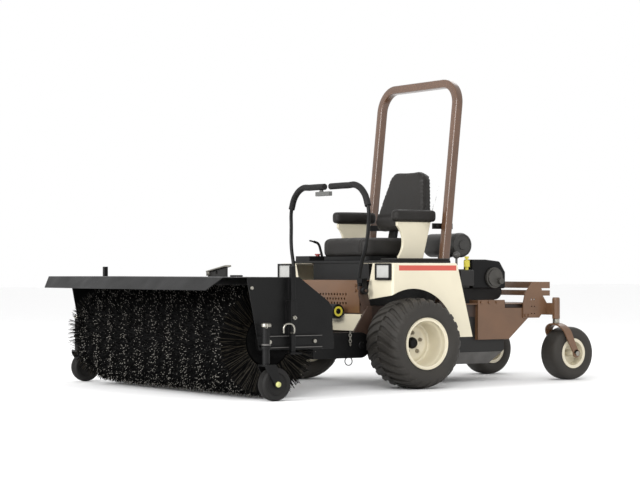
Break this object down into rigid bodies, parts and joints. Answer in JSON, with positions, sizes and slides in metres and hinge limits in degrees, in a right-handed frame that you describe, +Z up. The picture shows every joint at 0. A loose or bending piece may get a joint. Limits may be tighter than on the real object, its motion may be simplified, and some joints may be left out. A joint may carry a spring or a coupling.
{
  "type": "ride-on tractor with a rotary brush head",
  "caption": "Front-mount ride-on tractor with a roll bar, lap-bar levers, rear casters and a wide hooded rotary brush that lifts and swings on its front frame.",
  "frame": {"origin": "on the ground under the middle of the outline", "axes": "+Z up, -Y forwards towards the brush, +X to the machine's left"},
  "size_m": [2.24, 3.085, 1.8327],
  "materials": {
    "cream_paint": "satin cream paint",
    "brown_paint": "satin brown paint",
    "black_paint": "semi-gloss black paint",
    "dark_metal": "dark grey cast and pressed metal",
    "zinc": "zinc-plated steel",
    "tyre_rubber": "matte black tyre rubber",
    "vinyl": "black grained vinyl",
    "black_plastic": "matte black plastic",
    "grey_plastic": "matte grey plastic",
    "lens": "clear lamp lens over a white reflector",
    "yellow_plastic": "yellow plastic",
    "red_plastic": "red plastic",
    "bristle": "black polypropylene bristle"
  },
  "bodies": {
    "tractor": {"main_frame": "brown_paint", "engine_deck": "brown_paint", "tail_frame": "brown_paint", "belly_pan": "dark_metal", "front_panel": "brown_paint", "lower_cover": "cream_paint", "hydraulic_filter": "black_paint", "fender_left": "cream_paint", "fender_right": "cream_paint", "lamp_bezels": "black_plastic", "lamp_lenses": "lens", "rops": "brown_paint", "seat_platform": "black_paint", "armrest_supports": "cream_paint", "armrest_pads": "vinyl", "console": "black_plastic", "engine_block": "dark_metal", "engine_shroud": "black_paint", "round_cover": "dark_metal", "air_cleaner": "black_paint", "valve_covers": "dark_metal", "oil_cap": "yellow_plastic", "muffler": "zinc", "wheel_motors": "dark_metal", "frame_bolts": "zinc"},
    "lift": {"lift_frame": "black_paint"},
    "head": {"swing_frame": "black_paint", "hood": "black_paint", "end_plates": "black_paint", "caster_arms": "black_paint", "brush_motor": "dark_metal", "brush_bearing": "zinc", "head_hardware": "zinc"},
    "brush": {"brush_core": "dark_metal", "bristles": "bristle"},
    "seat": {"seat_cushion": "vinyl", "seat_back": "vinyl"},
    "lever_left": {"steer_lever_left": "black_paint"},
    "lever_right": {"steer_lever_right": "black_paint", "thumb_switch": "grey_plastic"},
    "console_lever": {"console_lever": "black_plastic"},
    "pto_button": {"pto_button": "red_plastic"},
    "drive_wheel_left": {"drive_hub_left": "black_paint", "drive_rim_left": "cream_paint", "drive_tyre_left": "tyre_rubber"},
    "tail_caster_left": {"tail_fork_left": "brown_paint"},
    "tail_wheel_left": {"tail_rim_left": "cream_paint", "tail_tyre_left": "tyre_rubber"},
    "head_caster_left": {"head_fork_left": "black_paint"},
    "head_wheel_left": {"head_wheel_left": "tyre_rubber"},
    "stand_left": {"stand_left": "black_paint"},
    "drive_wheel_right": {"drive_hub_right": "black_paint", "drive_rim_right": "cream_paint", "drive_tyre_right": "tyre_rubber"},
    "tail_caster_right": {"tail_fork_right": "brown_paint"},
    "tail_wheel_right": {"tail_rim_right": "cream_paint", "tail_tyre_right": "tyre_rubber"},
    "head_caster_right": {"head_fork_right": "black_paint"},
    "head_wheel_right": {"head_wheel_right": "tyre_rubber"},
    "stand_right": {"stand_right": "black_paint"}
  },
  "joints": [
    {"name": "lift_pivot", "type": "hinge", "parent": "tractor", "child": "lift", "pos_m": [0, -0.2125, 0.248], "axis": [-1, 0, 0], "range_deg": [0, 12]},
    {"name": "head_swing", "type": "hinge", "parent": "lift", "child": "head", "pos_m": [0, -0.6825, 0.4], "axis": [0, 0, 1], "range_deg": [-20, 20]},
    {"name": "brush_spin", "type": "hinge", "parent": "head", "child": "brush", "pos_m": [0, -1.1425, 0.304], "axis": [1, 0, 0], "continuous": true},
    {"name": "drive_left", "type": "hinge", "parent": "tractor", "child": "drive_wheel_left", "pos_m": [0.605, 0.0425, 0.26], "axis": [1, 0, 0], "continuous": true},
    {"name": "tail_swivel_left", "type": "hinge", "parent": "tractor", "child": "tail_caster_left", "pos_m": [0.398, 1.2925, 0.43], "axis": [0, 0, 1], "continuous": true},
    {"name": "tail_roll_left", "type": "hinge", "parent": "tail_caster_left", "child": "tail_wheel_left", "pos_m": [0.398, 1.3785, 0.164], "axis": [1, 0, 0], "continuous": true},
    {"name": "head_swivel_left", "type": "hinge", "parent": "head", "child": "head_caster_left", "pos_m": [1.08, -1.2545, 0.33], "axis": [0, 0, 1], "continuous": true},
    {"name": "head_roll_left", "type": "hinge", "parent": "head_caster_left", "child": "head_wheel_left", "pos_m": [1.08, -1.2045, 0.088], "axis": [1, 0, 0], "continuous": true},
    {"name": "stand_slide_left", "type": "slide", "parent": "head", "child": "stand_left", "axis": [0, 0, 1], "range_m": [-0.2, 0]},
    {"name": "steer_left", "type": "hinge", "parent": "tractor", "child": "lever_left", "pos_m": [0.4, -0.1575, 0.56], "axis": [1, 0, 0], "range_deg": [-8, 20]},
    {"name": "drive_right", "type": "hinge", "parent": "tractor", "child": "drive_wheel_right", "pos_m": [-0.605, 0.0425, 0.26], "axis": [1, 0, 0], "continuous": true},
    {"name": "tail_swivel_right", "type": "hinge", "parent": "tractor", "child": "tail_caster_right", "pos_m": [-0.398, 1.2925, 0.43], "axis": [0, 0, 1], "continuous": true},
    {"name": "tail_roll_right", "type": "hinge", "parent": "tail_caster_right", "child": "tail_wheel_right", "pos_m": [-0.398, 1.3785, 0.164], "axis": [1, 0, 0], "continuous": true},
    {"name": "head_swivel_right", "type": "hinge", "parent": "head", "child": "head_caster_right", "pos_m": [-1.08, -1.2545, 0.33], "axis": [0, 0, 1], "continuous": true},
    {"name": "head_roll_right", "type": "hinge", "parent": "head_caster_right", "child": "head_wheel_right", "pos_m": [-1.08, -1.2045, 0.088], "axis": [1, 0, 0], "continuous": true},
    {"name": "stand_slide_right", "type": "slide", "parent": "head", "child": "stand_right", "axis": [0, 0, 1], "range_m": [-0.2, 0]},
    {"name": "steer_right", "type": "hinge", "parent": "tractor", "child": "lever_right", "pos_m": [-0.4, -0.1575, 0.56], "axis": [1, 0, 0], "range_deg": [-8, 20]},
    {"name": "seat_slide", "type": "slide", "parent": "tractor", "child": "seat", "axis": [0, 1, 0], "range_m": [-0.06, 0.06]},
    {"name": "console_lever_pivot", "type": "hinge", "parent": "tractor", "child": "console_lever", "pos_m": [-0.422, 0.0995, 0.753], "axis": [1, 0, 0], "range_deg": [-20, 20]},
    {"name": "pto_push", "type": "slide", "parent": "tractor", "child": "pto_button", "axis": [0, 0, 1], "range_m": [-0.005, 0]}
  ]
}
